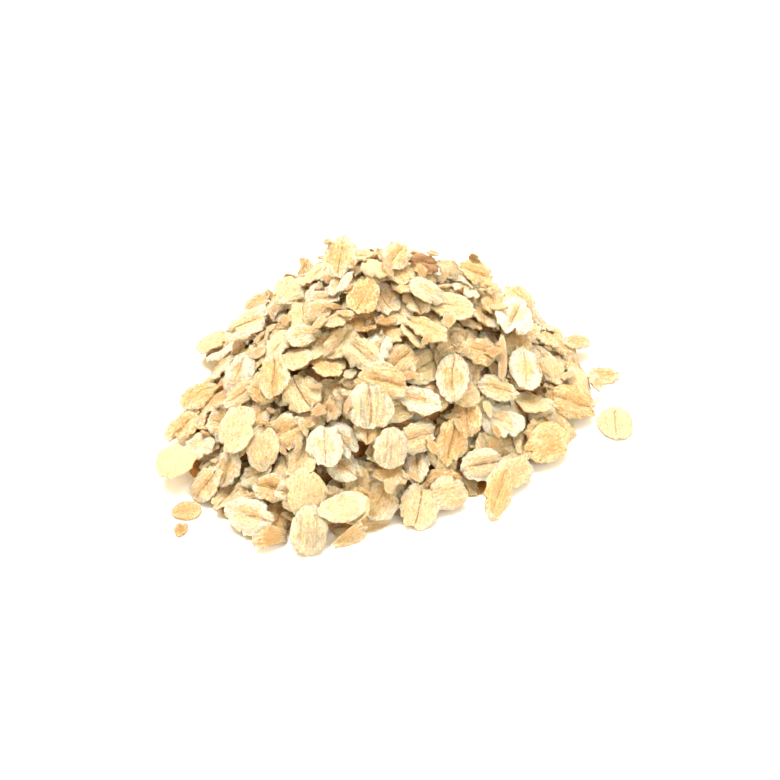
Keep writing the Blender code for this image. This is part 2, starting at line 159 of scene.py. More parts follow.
# The flakes that stand out, laid last: kind, plan point in millimetres, heading in degrees,
# length and width in millimetres, the share of the slope below that it takes on, how much
# steeper than that it rises to the back, and its finish
STANDOUT_FLAKES = (
    # On the skyline
    ("creased", -11.6, -0.6, 85, 9.8, 9.0, 0.60, 0.55, "golden"),
    ("smooth", -3.6, -5.0, 125, 8.0, 5.2, 1.00, 0.30, "pale"),
    ("creased", 1.4, -1.0, 62, 8.6, 6.4, 1.00, 0.50, "golden"),
    ("creased", 8.2, 1.6, 32, 8.4, 5.2, 1.00, 0.60, "toasted"),
    ("smooth", 8.4, -7.0, 5, 9.6, 6.2, 1.00, 0.10, "floury"),
    ("broken", 14.0, 4.0, 25, 6.4, 4.6, 1.00, 0.90, "pale"),
    ("creased", 20.6, 7.8, 5, 9.8, 7.8, 0.50, 0.40, "golden"),
    ("smooth", -24.0, 5.0, 45, 8.6, 8.0, 0.15, 0.30, "pale"),
    ("creased", -33.2, 18.0, 50, 9.0, 5.6, 0.25, 0.30, "plain"),
    ("creased", -34.0, 2.6, 10, 11.4, 8.6, 0.30, 0.20, "floury"),
    # On the right flank
    ("creased", 29.4, -1.6, 68, 13.0, 10.0, 0.45, 0.10, "floury"),
    ("creased", 31.6, 13.0, 130, 8.8, 7.0, 0.30, 0.30, "golden"),
    ("creased", 31.6, -12.0, 95, 10.6, 8.6, 0.55, 0.10, "floury"),
    ("sliver", 26.2, -14.2, 88, 12.0, 2.0, 1.00, 0.50, "pale"),
    ("smooth", 45.8, -5.4, 125, 9.2, 7.0, 0.60, 0.20, "pale"),
    ("creased", 43.6, -11.4, 8, 12.2, 8.8, 0.80, 0.00, "bran"),
    ("smooth", 46.4, 13.4, 10, 7.4, 5.6, 0.25, 0.00, "golden"),
    ("creased", 52.4, 4.8, 5, 7.4, 6.6, 0.60, 0.00, "golden"),
    ("broken", 50.2, -3.4, 80, 6.4, 5.0, 0.50, 0.00, "plain"),
    ("smooth", 36.8, -25.0, 40, 11.6, 9.8, 1.00, 0.10, "bran"),
    ("smooth", 28.6, -33.8, 35, 9.6, 8.0, 1.00, 0.00, "plain"),
    # Down the front
    ("creased", 14.2, -21.0, 82, 11.8, 7.6, 1.00, 0.10, "plain"),
    ("creased", -1.6, -27.6, 3, 12.6, 8.0, 1.00, 0.00, "plain"),
    ("creased", -4.4, -33.4, 90, 10.8, 10.2, 1.00, 0.10, "dusty"),
    ("smooth", 0.2, -38.8, 80, 9.6, 8.4, 1.00, 0.10, "dusty"),
    ("smooth", 13.2, -41.2, 20, 9.6, 7.4, 1.00, 0.00, "plain"),
    ("creased", 6.4, -45.2, 75, 10.0, 8.8, 1.00, 0.00, "pale"),
    ("creased", 24.6, -40.2, 68, 12.6, 7.2, 1.00, 0.00, "golden"),
    # Down the left
    ("smooth", -34.6, -30.8, 75, 12.2, 9.8, 0.80, 0.10, "pale"),
    ("creased", -48.6, -19.8, 50, 9.8, 8.0, 0.30, 0.10, "golden"),
    ("smooth", -49.4, -32.4, 80, 10.4, 9.4, 0.25, 0.10, "pale"),
    ("creased", -41.8, -38.0, 30, 9.2, 7.6, 1.00, 0.00, "plain"),
    ("creased", -45.6, -11.6, 35, 9.6, 7.6, 0.30, 0.10, "golden"),
    ("smooth", -43.8, 12.4, 20, 9.4, 8.0, 0.30, 0.10, "pale"),
    ("creased", -26.6, -23.6, 88, 10.0, 8.4, 0.80, 0.10, "golden"),
    # Along the foot at the front
    ("creased", -31.4, -48.6, 160, 11.0, 9.0, 1.00, 0.00, "floury"),
    ("smooth", -18.4, -47.0, 100, 10.8, 10.0, 1.00, 0.10, "pale"),
    ("smooth", -17.8, -53.6, 90, 10.8, 8.8, 1.00, 0.00, "dusty"),
    ("broken", -26.2, -54.0, 20, 7.0, 5.8, 1.00, 0.00, "bran"),
    ("smooth", -10.4, -49.0, 12, 10.4, 7.6, 1.00, 0.00, "pale"),
    ("broken", -8.8, -54.6, 25, 8.0, 4.8, 1.00, 0.00, "golden"),
)


def foot_radius(heading):
    """Distance from the summit's foot point to the heap's edge, for a heading in radians."""
    radius = FOOT_RADIUS
    for waves, swell, towards in FOOT_LOBES:
        radius = radius + swell * np.cos(waves * (heading - math.radians(towards)))
    return radius


def heap_form(x, y, sink=0.0, inset=0.0):
    """Height over the plan point and share of the way to the edge, for the heap or a core of it."""
    dx, dy = x - SUMMIT[0], y - SUMMIT[1]
    share = np.hypot(dx, dy) / (foot_radius(np.arctan2(dy, dx)) - RIM_INSET - inset)
    full = math.hypot(1, SUMMIT_ROUNDING)
    height = (full - np.sqrt(SUMMIT_ROUNDING**2 + share**2)) / (full - SUMMIT_ROUNDING)
    return (HEAP_HEIGHT - sink) * height, share


class Ground:
    """The height of what has been laid so far, on a grid of plan cells, and the flake on top."""

    def __init__(self):
        marks = np.arange(-REACH, REACH, CELL)
        self.x, self.y = np.meshgrid(marks, marks)
        target, self.share = heap_form(self.x, self.y)
        core, _ = heap_form(self.x, self.y, LAYER_DEPTH, LAYER_INSET)
        self.target = np.maximum(target, 0)
        self.height = np.maximum(core, 0)
        self.top = np.full(self.x.shape, -1)

    def window(self, place, reach):
        column = int((place[0] + REACH) / CELL)
        row = int((place[1] + REACH) / CELL)
        cells = int(reach / CELL) + 1
        return (slice(row - cells, row + cells + 1), slice(column - cells, column + cells + 1))


def flake_axes(slope, heading):
    """Unit vectors along, across and square to a flake that lies on a plane of this slope."""
    cosine, sine = math.cos(heading), math.sin(heading)
    along = np.array([cosine, sine, slope[0] * cosine + slope[1] * sine])
    along /= np.linalg.norm(along)
    square = np.array([-slope[0], -slope[1], 1.0])
    square /= np.linalg.norm(square)
    return along, np.cross(square, along), square


def lowest_rest(dx, dy, need, slope):
    """The slope and centre height at which a flake rests lowest on the heights it needs."""
    best = (need - slope[0] * dx - slope[1] * dy).max()
    step = COARSEST_STEP
    while step > FINEST_STEP:
        trials = slope + step * np.array([(1, 0), (-1, 0), (0, 1), (0, -1)])
        steepness = np.maximum(np.linalg.norm(trials, axis=1), STEEPEST)
        trials *= STEEPEST / steepness[:, None]
        heights = (need - trials[:, :1] * dx - trials[:, 1:] * dy).max(axis=1)
        lowest = int(heights.argmin())
        if heights[lowest] < best:
            best, slope = heights[lowest], trials[lowest]
        else:
            step /= 2
    return slope, best


def rest_flake(ground, flake, place):
    """How the flake comes to rest at this plan point: its axes, its centre and what it covers."""
    where = ground.window(place, flake["length"] / 2)
    dx = ground.x[where] - place[0]
    dy = ground.y[where] - place[1]
    slope = np.zeros(2)
    for _ in range(REST_PASSES):
        along, across, square = flake_axes(slope, flake["heading"])
        rise = slope[0] * dx + slope[1] * dy
        s = (dx * along[0] + dy * along[1] + rise * along[2]) / (flake["length"] / 2)
        t = (dx * across[0] + dy * across[1] + rise * across[2]) / (flake["width"] / 2)
        covered = s**2 + t**2 < 1
        bowed = flake["bow"] * (s**2 + CROSS_BOW * t**2) / square[2]
        half = FLAKE_THICKNESS / 2 / square[2]
        need = (ground.height[where] - bowed + half)[covered]
        slope, centre = lowest_rest(dx[covered], dy[covered], need, slope)
    slope = slope * flake["follows"] + flake["lean"]
    centre = (need - slope[0] * dx[covered] - slope[1] * dy[covered]).max()
    return {
        "axes": flake_axes(slope, flake["heading"]),
        "centre": np.array([*place, centre]),
        "where": where,
        "covered": covered,
        "upper": centre + slope[0] * dx + slope[1] * dy + bowed + half,
    }


def settle_flake(ground, number, flake, rest):
    """Leaves the flake where it rests, and raises the ground to its upper face."""
    below = ground.height[rest["where"]]
    raised = rest["covered"] & (rest["upper"] > below)
    below[raised] = rest["upper"][raised]
    ground.top[rest["where"]][raised] = number
    flake["axes"] = rest["axes"]
    flake["centre"] = rest["centre"]


def random_flake(draw, kinds):
    kind = kinds[draw.choice(len(kinds), p=[KINDS[k][0] for k in kinds])]
    _, shortest, longest, narrowest, widest = KINDS[kind]
    length = FLAKE_LENGTH * draw.uniform(shortest, longest)
    return {
        "kind": kind,
        "length": length,
        "width": length * draw.uniform(narrowest, widest),
        "heading": draw.uniform(0, 2 * math.pi),
        "bow": draw.uniform(-MOST_BOW, MOST_BOW),
        "follows": draw.uniform(*FOLLOWS),
        "lean": draw.normal(0, LEAN_SPREAD, 2),
    }


def lay_heap():
    """Every flake of the heap. Each rolls to the lowest of the hollows that it comes past."""
    draw = np.random.default_rng(SEED)
    ground = Ground()
    kinds = list(KINDS)
    inside = np.argwhere(ground.share < 1)
    flakes = []
    for number in range(FLAKES_LAID):
        flake = random_flake(draw, kinds)
        passed = inside[draw.integers(len(inside), size=PLACES_PASSED)]
        rows, columns = passed[:, 0], passed[:, 1]
        fill = ground.height[rows, columns] - ground.target[rows, columns]
        best = None
        for row, column in passed[fill.argsort()[:PLACES_TRIED]]:
            place = (ground.x[row, column], ground.y[row, column])
            rest = rest_flake(ground, flake, place)
            stands = rest["centre"][2] - ground.target[row, column]
            if best is None or stands < best[0]:
                best = (stands, rest)
        settle_flake(ground, number, flake, best[1])
        flakes.append(flake)
    for kind, x, y, heading, length, width, follows, steeper, finish in STANDOUT_FLAKES:
        flake = random_flake(draw, kinds)
        flake.update(kind=kind, heading=math.radians(heading), follows=follows, finish=finish)
        flake.update(length=length * MM, width=width * MM, lean=np.array([0, steeper]))
        settle_flake(ground, len(flakes), flake, rest_flake(ground, flake, (x * MM, y * MM)))
        flakes.append(flake)
    for number, flake in enumerate(flakes):
        in_plan = (ground.top == number).sum() * CELL**2
        flake["in_sight"] = in_plan / flake["axes"][2][2]
    return flakes, ground


flakes, ground = lay_heap()

# Creased flakes
# The commonest oat: a steamed kernel rolled flat, with its furrow as a dark line down the
# middle, tan bran on both sides of it and a torn, floury white margin. Each lies as it fell.
FINE_CELLS = 16
PLAIN_CELLS = 10
SHAPES = 10
# A flake that shows less than this gets a plainer shape, and a covered finish with painted shade
WELL_IN_SIGHT = 16e-6
THIN_EDGE = 0.35
LEAST_THICKNESS = 0.0003
CREASED_RAGGED = 0.20
CREASED_PLAIN_RAGGED = 0.19
CREASED_UNEVENNESS = 0.00028
# Heights of the relief in millimetres. The furrow's depth differs from flake to flake by the
# second of its two values either way
FURROW_DEPTH = (0.68, 0.24)
LOBE_HEIGHT = 0.46
RIB_HEIGHT = 0.24
TURNED_UP_HEIGHT = 0.9
FOLD_HEIGHT = 0.30
FRILL_HEIGHT = 0.62
LUMP_HEIGHT = 0.50
# Each flake has a key of its own up to this, which gives it its own lumps and shade
LUMP_KEYS = 100
# Faces that meet at more than this keep a sharp edge
SHARP_EDGE = math.radians(60)
FINISHES = {
    # Golden, bran, flour, grey, toast: each 0 to 1
    "plain": (0.45, 0.40, 0.50, 0.0, 0.0),
    "pale": (0.15, 0.10, 0.35, 0.0, 0.0),
    "golden": (0.85, 0.60, 0.40, 0.0, 0.0),
    "floury": (0.35, 0.35, 0.95, 0.0, 0.0),
    "bran": (0.90, 0.95, 0.10, 0.0, 0.0),
    "chalky": (0.0, 0.0, 1.0, 0.0, 0.0),
    "dusty": (0.10, 0.30, 0.62, 0.8, 0.0),
    "toasted": (0.80, 0.70, 0.15, 0.1, 1.0),
    "orange": (1.0, 1.0, 0.0, 0.0, 0.0),
}
# Mostly covered flakes have one of these, never a floury white one: painted shade for the gaps
COVERED_SHADE_FINISHES = ("golden", "bran", "plain", "pale")
FINISH_SHARES = {
    "plain": 0.27,
    "pale": 0.20,
    "golden": 0.25,
    "floury": 0.15,
    "bran": 0.07,
    "chalky": 0.04,
    "dusty": 0.02,
}
# How much the five shares differ between flakes of one finish
TONE_SPREAD = 0.13
TONE_LOOSENESS = (1, 1, 1, 0.3, 0)


def lump(s, t, key, size):
    """Smooth unevenness from -1 to 1 over a flake, different for each key."""
    return noise.noise(Vector((s / size + 37.1 * key, t / size - 11.7 * key, 5.3 * key)))


def torn_edge(angle, key, ragged, tears):
    """How far the margin reaches in this direction: an uneven oval, torn most at the two ends."""
    edge = 1 + 0.06 * math.sin(2 * angle + key) + 0.04 * math.sin(3 * angle + 2.1 * key)
    ends = 0.35 + 0.65 * math.cos(angle) ** 2
    edge += ragged * ends * lump(math.cos(angle), math.sin(angle), key, 0.42)
    edge += 0.55 * ragged * lump(math.cos(angle), math.sin(angle), key + 1, 0.15)
    for number in range(tears):
        off = math.remainder(angle - 2.4 * number - 1.7 * key, 2 * math.pi)
        edge -= 0.24 * math.exp(-((off / 0.12) ** 2))
    return edge


def flake_blank(name, cells_long, cells_wide):
    """A flat disc with lines that run along and across it, closest together down the middle."""
    bpy.ops.object.select_all(action="DESELECT")
    bpy.ops.mesh.primitive_grid_add(x_subdivisions=cells_long, y_subdivisions=cells_wide, size=2)
    blank = bpy.context.object
    blank.name = name
    for v in blank.data.vertices:
        x, y = v.co.x, v.co.y * (0.6 + 0.4 * abs(v.co.y))
        v.co.x = x * math.sqrt(1 - y * y / 2)
        v.co.y = y * math.sqrt(1 - x * x / 2)
    return blank


def shape_blank(blank, key, ragged, tears, relief):
    """Tears the margin and raises each point by the relief, in millimetres."""
    for v in blank.data.vertices:
        s, t = v.co.x, v.co.y
        rim = math.hypot(s, t)
        reach = 1 + (torn_edge(math.atan2(t, s), key, ragged, tears) - 1) * rim**4
        v.co = (s * reach, t * reach, relief(s, t, rim, key) * MM)


def give_thickness(blank, edge_share):
    """Full thickness in the middle and a thin margin. Gives the points, whether each is on the
    underside, and the faces."""
    thick = blank.vertex_groups.new(name="thick")
    for v in blank.data.vertices:
        rim = min(1, math.hypot(v.co.x, v.co.y))
        thick.add([v.index], 1 - 0.95 * rim**4, "REPLACE")
    wall = blank.modifiers.new("thickness", "SOLIDIFY")
    wall.thickness = FLAKE_THICKNESS
    wall.offset = 0
    wall.vertex_group = thick.name
    wall.thickness_vertex_group = edge_share
    bpy.ops.object.modifier_apply(modifier=wall.name)
    mesh = blank.data
    spots = np.empty(len(mesh.vertices) * 3)
    mesh.vertices.foreach_get("co", spots)
    faces = [tuple(f.vertices) for f in mesh.polygons]
    bpy.data.objects.remove(blank)
    bpy.data.meshes.remove(mesh)
    # The points of one side come first, and those of the other side follow in the same order
    first, second = spots.reshape(2, -1, 3)[:, :, 2]
    first_is_under = first.mean() < second.mean()
    under = np.repeat([first_is_under, not first_is_under], len(first))
    return spots.reshape(-1, 3), under.astype(float), faces


def crumple(s, t, rim, key):
    """What every flake has: fine folds along it, a frilled margin and general lumpiness."""
    folds = FOLD_HEIGHT * lump(s * 0.6, t * 1.5, key + 5, 0.26)
    frill = FRILL_HEIGHT * rim**4 * lump(s, t, key, 0.24)
    return folds + frill + LUMP_HEIGHT * lump(s, t, key + 3, 0.60)


def furrowed(s, t, rim, key):
    """A furrow down the middle with a rounded lobe on each side, one margin often turned up."""
    off = t - 0.07 * math.sin(2.4 * s + key)
    depth = FURROW_DEPTH[0] + FURROW_DEPTH[1] * math.sin(5.1 * key)
    furrow = depth * math.exp(-((off / 0.13) ** 2))
    lobes = LOBE_HEIGHT * math.exp(-(((abs(off) - 0.38) / 0.18) ** 2))
    ribs = RIB_HEIGHT * max(0, math.sin(7.7 * key)) * math.cos(10 * off)
    turned_up = TURNED_UP_HEIGHT * max(0, math.sin(2.3 * key)) * max(0, off - 0.25) ** 2
    return (lobes + ribs - furrow) * max(0, 1 - s**4) + turned_up + crumple(s, t, rim, key)


def model_flakes(name, cells, edge_share, ragged, relief):
    """Shapes of one kind: each has its own margin, tears and relief."""
    shapes = []
    for number in range(SHAPES):
        key = 1.0 + 0.83 * number
        blank = flake_blank(name, cells, cells)
        shape_blank(blank, key, ragged, number % 3, relief)
        shapes.append(give_thickness(blank, edge_share))
    return shapes


def flake_tones(draw, flake):
    """The flake's tint: its golden, bran, flour, grey and toasted shares, golder as painted shade
    if covered.
    """
    shares = list(FINISH_SHARES.values())
    finish = flake.get("finish") or draw.choice(list(FINISH_SHARES), p=shares)
    # Painted shade: a mostly covered flake without a finish of its own gets a golder covered one
    if flake["in_sight"] < WELL_IN_SIGHT and "finish" not in flake:
        finish = COVERED_SHADE_FINISHES[draw.integers(len(COVERED_SHADE_FINISHES))]
    spread = draw.normal(0, TONE_SPREAD, 5) * TONE_LOOSENESS
    return np.clip(np.array(FINISHES[finish]) + spread, 0, 1)


def join_flakes(name, laid, fine_shapes, plain_shapes, draw, unevenness):
    """One mesh of all these flakes: each is a shape laid in its place, with its own lumps."""
    spots, faces, plans, tones = [], [], [], []
    used = 0
    for number, flake in enumerate(laid):
        shapes = fine_shapes if flake["in_sight"] > WELL_IN_SIGHT else plain_shapes
        shape, under, shape_faces = shapes[number % len(shapes)]
        along, across, square = flake["axes"]
        turned = draw.choice((-1, 1))
        key = draw.uniform(0, LUMP_KEYS)
        s, t, rise = shape[:, 0] * turned, shape[:, 1] * turned, shape[:, 2]
        lumps = np.array([lump(a, b, key, 0.55) for a, b in zip(s, t)]) * unevenness
        height = rise + lumps + flake["bow"] * (s**2 + CROSS_BOW * t**2)
        placed = (
            flake["centre"]
            + np.outer(s * flake["length"] / 2, along)
            + np.outer(t * flake["width"] / 2, across)
            + np.outer(height, square)
        )
        # What would reach below the surface is bent up along it and keeps some thickness there.
        # Each flake does so at a height of its own, as faces at one height would turn black
        surface = FLOOR_GAP / 2 + (1 - under) * LEAST_THICKNESS
        placed[:, 2] = np.maximum(placed[:, 2], surface * (1 + key / LUMP_KEYS))
        faces += [tuple(v + used for v in f) for f in shape_faces]
        used += len(placed)
        spots.append(placed)
        plans.append(np.column_stack([s, t, np.full(len(s), key)]))
        # Each point's tint shares, then whether it lies on the underside, where the material paints
        # shade
        tones.append(np.column_stack([np.tile(flake_tones(draw, flake), (len(s), 1)), under]))
    mesh = bpy.data.meshes.new(name)
    mesh.from_pydata(np.vstack(spots), [], faces)
    tones = np.vstack(tones)
    for label, values in (
        ("plan", np.vstack(plans)),
        ("tone", tones[:, :3]),
        ("tint_and_underside_shade", tones[:, 3:]),
    ):
        held = mesh.attributes.new(label, "FLOAT_VECTOR", "POINT")
        held.data.foreach_set("vector", values.ravel())
    piece = bpy.data.objects.new(name, mesh)
    bpy.context.scene.collection.objects.link(piece)
    bpy.ops.object.select_all(action="DESELECT")
    piece.select_set(True)
    bpy.context.view_layer.objects.active = piece
    bpy.ops.object.shade_smooth_by_angle(angle=SHARP_EDGE)
    return piece


class Recipe:
    """Short calls for the nodes of one material."""

    def __init__(self, name):
        self.material = bpy.data.materials.new(name)
        self.material.use_nodes = True
        self.tree = self.material.node_tree
        self.shader = self.tree.nodes["Principled BSDF"]

    def feed(self, socket, value):
        if isinstance(value, bpy.types.NodeSocket):
            self.tree.links.new(value, socket)
        else:
            socket.default_value = value

    def held(self, name):
        node = self.tree.nodes.new("ShaderNodeAttribute")
        node.attribute_name = name
        return node.outputs["Vector"]

    def parts(self, vector):
        node = self.tree.nodes.new("ShaderNodeSeparateXYZ")
        self.feed(node.inputs[0], vector)
        return node.outputs[0], node.outputs[1], node.outputs[2]

    def point(self, x, y, z):
        node = self.tree.nodes.new("ShaderNodeCombineXYZ")
        for socket, value in zip(node.inputs, (x, y, z)):
            self.feed(socket, value)
        return node.outputs[0]

    def math(self, operation, *values):
        node = self.tree.nodes.new("ShaderNodeMath")
        node.operation = operation
        for socket, value in zip(node.inputs, values):
            self.feed(socket, value)
        return node.outputs[0]

    def times(self, *values):
        product = values[0]
        for value in values[1:]:
            product = self.math("MULTIPLY", product, value)
        return product

    def grain(self, vector, scale, detail=3.0, rough=0.55):
        node = self.tree.nodes.new("ShaderNodeTexNoise")
        self.feed(node.inputs["Vector"], vector)
        node.inputs["Scale"].default_value = scale
        node.inputs["Detail"].default_value = detail
        node.inputs["Roughness"].default_value = rough
        return node.outputs["Fac"]

    def ramp(self, value, low, high):
        """0 at low and 1 at high, with a soft step between."""
        node = self.tree.nodes.new("ShaderNodeMapRange")
        node.interpolation_type = "SMOOTHSTEP"
        self.feed(node.inputs["Value"], value)
        self.feed(node.inputs["From Min"], low)
        self.feed(node.inputs["From Max"], high)
        return node.outputs["Result"]

    def blend(self, share, under, over):
        node = self.tree.nodes.new("ShaderNodeMix")
        node.data_type = "RGBA"
        self.feed(node.inputs["Factor"], share)
        self.feed(node.inputs[6], under)
        self.feed(node.inputs[7], over)
        return node.outputs[2]

    def bump(self, height, strength, distance, after=None):
        node = self.tree.nodes.new("ShaderNodeBump")
        node.inputs["Strength"].default_value = strength
        node.inputs["Distance"].default_value = distance
        self.feed(node.inputs["Height"], height)
        if after is not None:
            self.feed(node.inputs["Normal"], after)
        return node.outputs["Normal"]


CREAM = (0.94, 0.79, 0.49, 1.0)
GOLDEN = (0.92, 0.66, 0.29, 1.0)
BRAN = (0.74, 0.40, 0.13, 1.0)
CREASE_BROWN = (0.28, 0.11, 0.03, 1.0)
FLOUR = (0.96, 0.91, 0.76, 1.0)
# Painted shade: the undersides of the flakes get this darker orange-brown, so the gaps under and
# between them look shaded
UNDERSIDE_SHADE_PAINT = (0.80, 0.44, 0.12, 1.0)
HUSK_GREY = (0.46, 0.40, 0.30, 1.0)
TOAST = (0.52, 0.27, 0.13, 1.0)
OAT_ROUGHNESS = 0.58
OAT_SPECULAR = 0.35
# A little light goes into a flake, red the furthest
LIGHT_INSIDE = 0.35
LIGHT_REACH = (1.0, 0.45, 0.12)
LIGHT_DEPTH = 0.0006


def oat_finish(name, crease, margin, streaks):
    """Cream inside, golden and bran streaks along the flake, flour on the torn margin."""
    mix = Recipe(name)
    s, t, key = mix.parts(mix.held("plan"))
    golden, bran, flour = mix.parts(mix.held("tone"))
    grey, toast, under = mix.parts(mix.held("tint_and_underside_shade"))
    patchy = mix.grain(mix.point(s, t, key), 1.6, 4.0, 0.62)
    cloudy = mix.grain(mix.point(s, t, mix.math("ADD", key, 4.0)), 2.4, 3.0, 0.6)
    along = mix.grain(mix.point(mix.times(s, 1.6), mix.times(t, 4.6), key), 1.5, 4.0, 0.65)
    fine = mix.grain(mix.point(mix.times(s, 3.2), mix.times(t, 10.0), key), 1.5, 3.0, 0.7)
    rim = mix.math("SQRT", mix.math("ADD", mix.times(s, s), mix.times(t, t)))
    torn = mix.math("ADD", rim, mix.times(mix.math("SUBTRACT", cloudy, 0.5), 1.3))

    colour = mix.blend(mix.times(mix.ramp(patchy, 0.42, 0.58), golden), CREAM, GOLDEN)
    streaky = mix.times(mix.ramp(along, 0.47, 0.64), streaks, mix.math("ADD", bran, 0.30))
    colour = mix.blend(streaky, colour, BRAN)
    inner = mix.times(mix.ramp(torn, 0.75, 0.35), bran, mix.ramp(fine, 0.30, 0.55), 0.95)
    colour = mix.blend(inner, colour, BRAN)
    bands = mix.grain(mix.point(mix.times(s, 0.5), mix.times(t, 2.6), key), 1.5, 2.0, 0.5)
    colour = mix.blend(mix.times(mix.ramp(bands, 0.46, 0.56), grey), colour, HUSK_GREY)
    bare = mix.math("SUBTRACT", 1.0, mix.times(flour, 0.65))
    floured = mix.ramp(torn, bare, mix.math("ADD", bare, 0.20))
    dusted = mix.times(floured, mix.math("SQRT", flour), margin)
    colour = mix.blend(dusted, colour, FLOUR)
    if crease:
        bend = mix.times(mix.math("SINE", mix.math("ADD", mix.times(s, 2.4), key)), 0.05)
        wander = mix.times(mix.math("SUBTRACT", patchy, 0.5), 0.22)
        off = mix.math("ABSOLUTE", mix.math("ADD", t, mix.math("ADD", bend, wander)))
        patches = mix.ramp(cloudy, 0.32, 0.52)
        # The line is thin and clear on some flakes and hardly there on others
        clear = mix.math("ADD", mix.times(mix.math("FRACT", mix.times(key, 7.3)), 0.5), 0.5)
        wide = mix.math("ADD", mix.times(mix.math("FRACT", mix.times(key, 3.1)), 0.35), 0.15)
        line = mix.times(mix.ramp(off, 0.075, 0.012), mix.ramp(rim, 0.98, 0.70), patches, clear)
        flank = mix.times(mix.ramp(off, wide, 0.02), mix.ramp(rim, 0.95, 0.60), golden, 0.9)
        colour = mix.blend(flank, colour, GOLDEN)
        colour = mix.blend(mix.times(flank, bran, 0.5), colour, BRAN)
        colour = mix.blend(mix.times(line, crease), colour, CREASE_BROWN)
    spots = mix.grain(mix.point(s, mix.times(t, 1.5), mix.math("ADD", key, 9.0)), 5.5, 3.0, 0.6)
    flecks = mix.times(mix.ramp(spots, 0.53, 0.61), mix.math("ADD", mix.times(bran, 0.6), 0.35))
    colour = mix.blend(flecks, colour, BRAN)
    colour = mix.blend(mix.times(mix.ramp(spots, 0.44, 0.34), flour, 0.9), colour, FLOUR)
    grit = mix.grain(mix.point(s, mix.times(t, 1.6), mix.math("ADD", key, 17.0)), 12.0, 2.0, 0.6)
    colour = mix.blend(mix.times(mix.ramp(grit, 0.52, 0.64), 0.42), colour, BRAN)
    colour = mix.blend(mix.times(mix.ramp(grit, 0.46, 0.34), 0.50), colour, FLOUR)
    colour = mix.blend(mix.times(toast, 0.85), colour, TOAST)
    # Painted shade: the underside of each flake is blended towards a dark orange-brown
    colour = mix.blend(mix.times(under, 0.8), colour, UNDERSIDE_SHADE_PAINT)
    mix.feed(mix.shader.inputs["Base Color"], colour)

    ridges = mix.bump(fine, 0.9, 0.0010)
    crumpled = mix.bump(cloudy, 0.9, 0.0016, ridges)
    pitted = mix.grain(mix.point(s, t, key), 7.5, 5.0, 0.75)
    mix.feed(mix.shader.inputs["Normal"], mix.bump(pitted, 1.0, 0.0019, crumpled))
    mix.shader.inputs["Roughness"].default_value = OAT_ROUGHNESS
    mix.shader.inputs["Specular IOR Level"].default_value = OAT_SPECULAR
    mix.shader.inputs["Subsurface Weight"].default_value = LIGHT_INSIDE
    mix.shader.inputs["Subsurface Radius"].default_value = LIGHT_REACH
    mix.shader.inputs["Subsurface Scale"].default_value = LIGHT_DEPTH
    return mix.material


draw = np.random.default_rng(SEED + 2)
creased_fine = model_flakes("creased", FINE_CELLS, THIN_EDGE, CREASED_RAGGED, furrowed)
creased_plain = model_flakes("creased", PLAIN_CELLS, THIN_EDGE, CREASED_PLAIN_RAGGED, furrowed)
creased_laid = [f for f in flakes if f["kind"] == "creased"]
creased = join_flakes(
    "oat_flakes_creased", creased_laid, creased_fine, creased_plain, draw, CREASED_UNEVENNESS
)
creased.data.materials.append(oat_finish("creased_oat", 0.95, 1.0, 0.8))
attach(creased, "root")
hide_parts("oat_heap")

# Smooth flakes
# Kernels that fell with the rounded back up: a low even dome, pale, with fine lines along it
# and a few short cracks in from the margin. Loose, like the rest.
SMOOTH_RAGGED = 0.13
SMOOTH_UNEVENNESS = 0.00024
# In millimetres, as the relief above. The crown differs from flake to flake by its second value
CROWN_HEIGHT = (0.30, 0.16)
DENT_DEPTH = 0.12
SMOOTH_CRUMPLE = 0.8


def domed(s, t, rim, key):
    """A shallow dome, sunk a little along one line."""
    crown = (CROWN_HEIGHT[0] + CROWN_HEIGHT[1] * math.sin(3.7 * key)) * (1 - rim**2)
    dent = DENT_DEPTH * math.exp(-(((t - 0.3 * math.sin(key)) / 0.12) ** 2))
    return crown - dent + SMOOTH_CRUMPLE * crumple(s, t, rim, key + 20)


smooth_fine = model_flakes("smooth", FINE_CELLS, THIN_EDGE, SMOOTH_RAGGED, domed)
smooth_plain = model_flakes("smooth", PLAIN_CELLS, THIN_EDGE, SMOOTH_RAGGED, domed)
smooth_laid = [f for f in flakes if f["kind"] == "smooth"]
smooth = join_flakes(
    "oat_flakes_smooth", smooth_laid, smooth_fine, smooth_plain, draw, SMOOTH_UNEVENNESS
)
smooth.data.materials.append(oat_finish("smooth_oat", 0.0, 0.7, 0.55))
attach(smooth, "root")
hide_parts("oat_heap")

# Broken flakes
# Flakes that snapped in the rolling or the pouring: half an oval, straight on one side, with
# the crumbly white inside showing at the break.
SNAP_LINE = 0.55
SNAP_TURN = 0.35
BROKEN_CELLS = 12
BROKEN_EDGE = 0.5
BROKEN_RAGGED = 0.34
BROKEN_UNEVENNESS = 0.00014
CHIP_HEIGHT = 0.22
CHIP_TILT = 0.30


def cut_blank(blank, place, towards):
    """Cuts away what lies beyond a line, as where a flake has snapped."""
    bpy.ops.object.mode_set(mode="EDIT")
    bpy.ops.mesh.select_all(action="SELECT")
    bpy.ops.mesh.bisect(plane_co=(*place, 0), plane_no=(*towards, 0), clear_outer=True)
    bpy.ops.object.mode_set(mode="OBJECT")


def chipped(s, t, rim, key):
    """Uneven, and tilted up or down towards the break."""
    tilt = CHIP_TILT * t * math.sin(1.9 * key)
    return CHIP_HEIGHT * lump(s, t, key, 0.5) + tilt + crumple(s, t, rim, key + 40)


